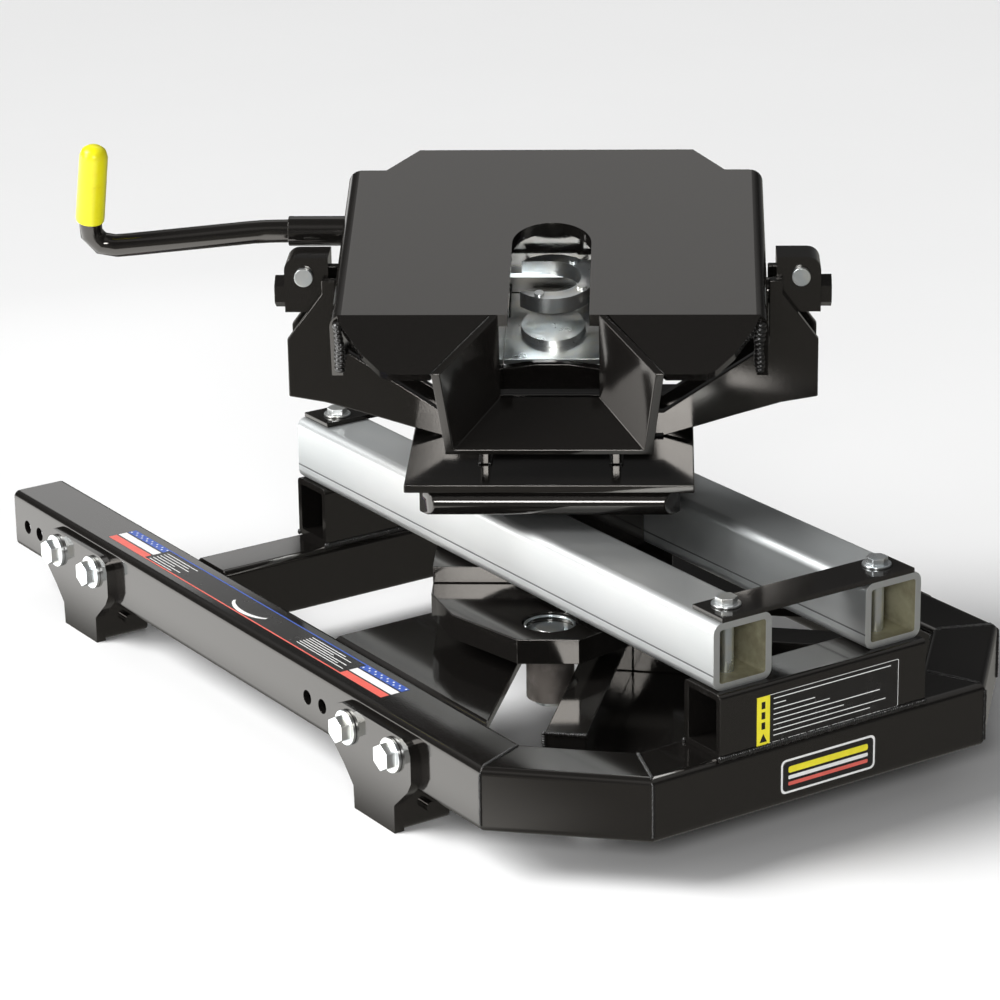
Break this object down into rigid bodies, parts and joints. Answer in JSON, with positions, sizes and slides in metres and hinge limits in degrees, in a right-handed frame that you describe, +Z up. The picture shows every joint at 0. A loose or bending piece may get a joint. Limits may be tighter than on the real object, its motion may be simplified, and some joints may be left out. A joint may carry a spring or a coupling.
{
  "type": "fifth wheel hitch",
  "caption": "Sliding fifth wheel hitch for a truck bed: bolted base, cam track, carriage on way tubes, turning yoke and tilting head with a jaw ring and pull handle.",
  "frame": {"origin": "middle of the four feet, on the bed floor", "axes": "+X to the truck's right, +Y to the truck's front, +Z up; the head is stored turned 36 degrees to the right and tipped 15 degrees rear down"},
  "size_m": [0.6499, 0.984, 0.5368],
  "materials": {
    "black_paint": "gloss black powder coat",
    "zinc": "bright zinc plate",
    "bare_steel": "turned steel, lightly greased",
    "nylon": "matte",
    "yellow_vinyl": "dipped vinyl"
  },
  "bodies": {
    "base_frame": {"side_rail_left": "black_paint", "side_rail_right": "black_paint", "corner_beam_left": "black_paint", "corner_beam_right": "black_paint", "rear_beam": "black_paint", "front_cross_beam": "black_paint", "cam_plate": "black_paint", "track_bar_left": "black_paint", "track_bar_right": "black_paint", "track_pan": "black_paint", "foot_bracket_front_left": "black_paint", "foot_bracket_front_right": "black_paint", "foot_bracket_rear_left": "black_paint", "foot_bracket_rear_right": "black_paint", "tube_support_front": "black_paint", "tube_support_rear": "black_paint", "tube_strap_front": "black_paint", "tube_strap_rear": "black_paint", "foot_bolts_front_left": "zinc", "foot_bolts_front_right": "zinc", "foot_bolts_rear_left": "zinc", "foot_bolts_rear_right": "zinc", "way_tube_left": "zinc", "way_tube_right": "zinc", "strap_bolt_front_left": "zinc", "strap_bolt_front_right": "zinc", "strap_bolt_rear_left": "zinc", "strap_bolt_rear_right": "zinc"},
    "carriage": {"carriage_block": "black_paint", "wear_pad_left": "nylon", "wear_pad_right": "nylon"},
    "turret": {"turret_plate": "black_paint", "turret_bearing_plate": "black_paint", "turret_post": "bare_steel", "cam_hub_plate": "black_paint", "cam_arm": "black_paint", "roller_pin": "zinc", "yoke_rear_plate": "black_paint", "yoke_front_plate": "black_paint", "yoke_gusset_left": "black_paint", "yoke_gusset_right": "black_paint", "pivot_block_left": "black_paint", "pivot_block_right": "black_paint", "clamp_bolt_left": "zinc", "clamp_bolt_right": "zinc", "pitch_pin_left": "black_paint", "pitch_pin_right": "black_paint"},
    "cam_roller": {"cam_roller": "bare_steel"},
    "head": {"head_plate": "black_paint", "throat_funnel": "black_paint", "lock_box": "black_paint", "lock_floor": "zinc", "handle_sleeve": "black_paint"},
    "lock_ring": {"lock_ring": "zinc"},
    "handle": {"drive_plate": "zinc", "handle_bar": "black_paint", "handle_grip": "yellow_vinyl"}
  },
  "joints": [
    {"name": "carriage_slide", "type": "slide", "parent": "base_frame", "child": "carriage", "axis": [0, 1, 0], "range_m": [-0.2134, 0.1422]},
    {"name": "turret_yaw", "type": "hinge", "parent": "carriage", "child": "turret", "pos_m": [0, -0.13747, 0.2], "axis": [0, 0, 1], "range_deg": [-54.2, 36.2]},
    {"name": "cam_roller_spin", "type": "hinge", "parent": "turret", "child": "cam_roller", "pos_m": [-0.10451, -0.28131, 0.096], "axis": [0, 0, 1], "continuous": true},
    {"name": "head_pitch", "type": "hinge", "parent": "turret", "child": "head", "pos_m": [0, -0.13747, 0.406], "axis": [-0.809, 0.5878, 0], "range_deg": [0, 27]},
    {"name": "handle_slide", "type": "slide", "parent": "head", "child": "handle", "axis": [-0.809, 0.5878, 0], "range_m": [0, 0.065]},
    {"name": "lock_ring_turn", "type": "hinge", "parent": "head", "child": "lock_ring", "pos_m": [-0.00776, -0.14815, 0.45526], "axis": [-0.1521, -0.2094, 0.9659], "range_deg": [0, 90.2]}
  ],
  "couplings": [
    {"joint": "turret_yaw", "follows": "carriage_slide", "rad_per_m": 4.4173},
    {"joint": "lock_ring_turn", "follows": "handle_slide", "rad_per_m": 24.15}
  ]
}
